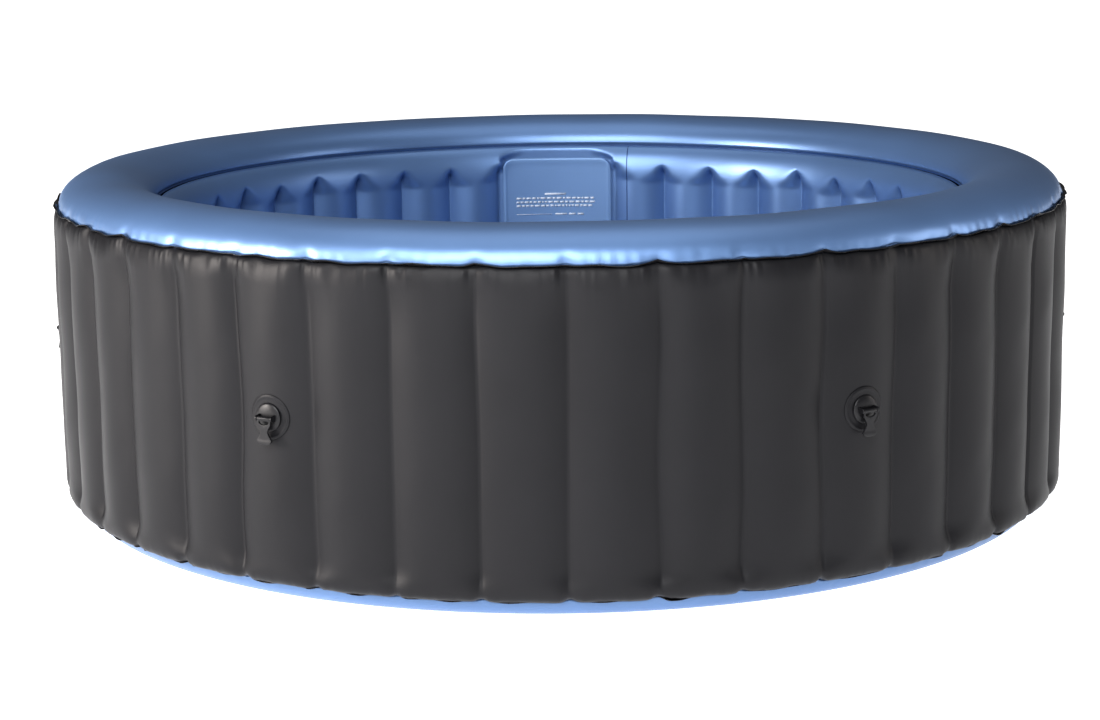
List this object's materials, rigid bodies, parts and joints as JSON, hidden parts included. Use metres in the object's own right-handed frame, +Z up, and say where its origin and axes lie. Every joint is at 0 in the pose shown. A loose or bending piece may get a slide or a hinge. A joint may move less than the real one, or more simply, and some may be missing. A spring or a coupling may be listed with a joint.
{
  "type": "inflatable hot tub",
  "caption": "Round inflatable hot tub: an air ring with a pillowed black outer wall, a blue rim and ribbed blue inner wall, welded floor, cover anchors, valve, drain and hose ports.",
  "frame": {"origin": "centre of the tub's floor on the ground", "axes": "+Z up; +Y towards the rear, where the hose ports are; -Y is the front"},
  "size_m": [2.0784, 2.0788, 0.668],
  "materials": {
    "black_grained_pvc": "satin laminated PVC with a fine leather grain",
    "blue_pearl_pvc": "smooth pearl satin PVC",
    "blue_panel_pvc": "smooth satin reinforced PVC",
    "blue_weld_tape": "heat-welded tape",
    "black_weld_ribbon": "heat-welded edge, slightly glossy",
    "scrim_web": "scrim-reinforced PVC sheet",
    "moulded_black": "satin injection-moulded soft PVC",
    "grey_plastic": "injection-moulded polypropylene",
    "spring_wire": "drawn stainless wire"
  },
  "bodies": {
    "root": {"outer_wall": "black_grained_pvc", "rim": "blue_pearl_pvc", "inner_wall": "blue_pearl_pvc", "rear_sheet": "blue_pearl_pvc", "base_ring": "blue_pearl_pvc", "floor_sheet": "blue_pearl_pvc", "top_weld_flange": "black_weld_ribbon", "bottom_weld_flange": "black_weld_ribbon", "crease_tape": "blue_weld_tape", "rim_web": "scrim_web", "tension_webs": "scrim_web", "bubble_channel": "blue_pearl_pvc", "equipment_panel": "blue_panel_pvc", "air_port_sleeve": "moulded_black", "drain_sleeve": "moulded_black", "valve_body": "moulded_black", "valve_spring": "spring_wire", "suction_port_sleeve": "moulded_black", "suction_port_nut": "moulded_black", "suction_port_screen": "grey_plastic", "return_port_sleeve": "moulded_black", "return_port_nut": "moulded_black", "return_port_screen": "grey_plastic", "anchor_patch_1": "black_grained_pvc", "anchor_base_1": "moulded_black", "anchor_patch_2": "black_grained_pvc", "anchor_base_2": "moulded_black", "anchor_patch_3": "black_grained_pvc", "anchor_base_3": "moulded_black", "anchor_patch_4": "black_grained_pvc", "anchor_base_4": "moulded_black", "anchor_patch_5": "black_grained_pvc", "anchor_base_5": "moulded_black", "anchor_patch_6": "black_grained_pvc", "anchor_base_6": "moulded_black"},
    "tab_1": {"anchor_tab_1": "moulded_black"},
    "tab_2": {"anchor_tab_2": "moulded_black"},
    "tab_3": {"anchor_tab_3": "moulded_black"},
    "tab_4": {"anchor_tab_4": "moulded_black"},
    "tab_5": {"anchor_tab_5": "moulded_black"},
    "tab_6": {"anchor_tab_6": "moulded_black"},
    "valve_stem": {"valve_stem": "grey_plastic"},
    "valve_cap": {"valve_cap": "grey_plastic"},
    "drain_cap": {"drain_cap": "moulded_black"}
  },
  "joints": [
    {"name": "tab_1_swing", "type": "hinge", "parent": "root", "child": "tab_1", "pos_m": [0.51734, 0.89606, 0.335], "axis": [0.866, -0.5, 0], "range_deg": [-8, 188]},
    {"name": "tab_2_swing", "type": "hinge", "parent": "root", "child": "tab_2", "pos_m": [1.03468, 0, 0.335], "axis": [0, -1, 0], "range_deg": [-8, 188]},
    {"name": "tab_3_swing", "type": "hinge", "parent": "root", "child": "tab_3", "pos_m": [0.51734, -0.89606, 0.335], "axis": [-0.866, -0.5, 0], "range_deg": [-8, 188]},
    {"name": "tab_4_swing", "type": "hinge", "parent": "root", "child": "tab_4", "pos_m": [-0.51734, -0.89606, 0.335], "axis": [-0.866, 0.5, 0], "range_deg": [-8, 188]},
    {"name": "tab_5_swing", "type": "hinge", "parent": "root", "child": "tab_5", "pos_m": [-1.03468, 0, 0.335], "axis": [0, 1, 0], "range_deg": [-8, 188]},
    {"name": "tab_6_swing", "type": "hinge", "parent": "root", "child": "tab_6", "pos_m": [-0.51734, 0.89606, 0.335], "axis": [0.866, 0.5, 0], "range_deg": [-8, 188]},
    {"name": "valve_press", "type": "slide", "parent": "root", "child": "valve_stem", "axis": [0.2225, -0.9749, 0], "range_m": [0, 0.004], "stiffness_N_per_m": 400, "springref_m": -0.002, "deforming": ["valve_spring"]},
    {"name": "valve_cap_turn", "type": "hinge", "parent": "root", "child": "valve_cap", "pos_m": [-0.22654, 0.99256, 0.42], "axis": [-0.2225, 0.9749, 0], "continuous": true},
    {"name": "drain_cap_turn", "type": "hinge", "parent": "root", "child": "drain_cap", "pos_m": [-0.37195, 0.94771, 0.075], "axis": [-0.3653, 0.9309, 0], "continuous": true}
  ]
}
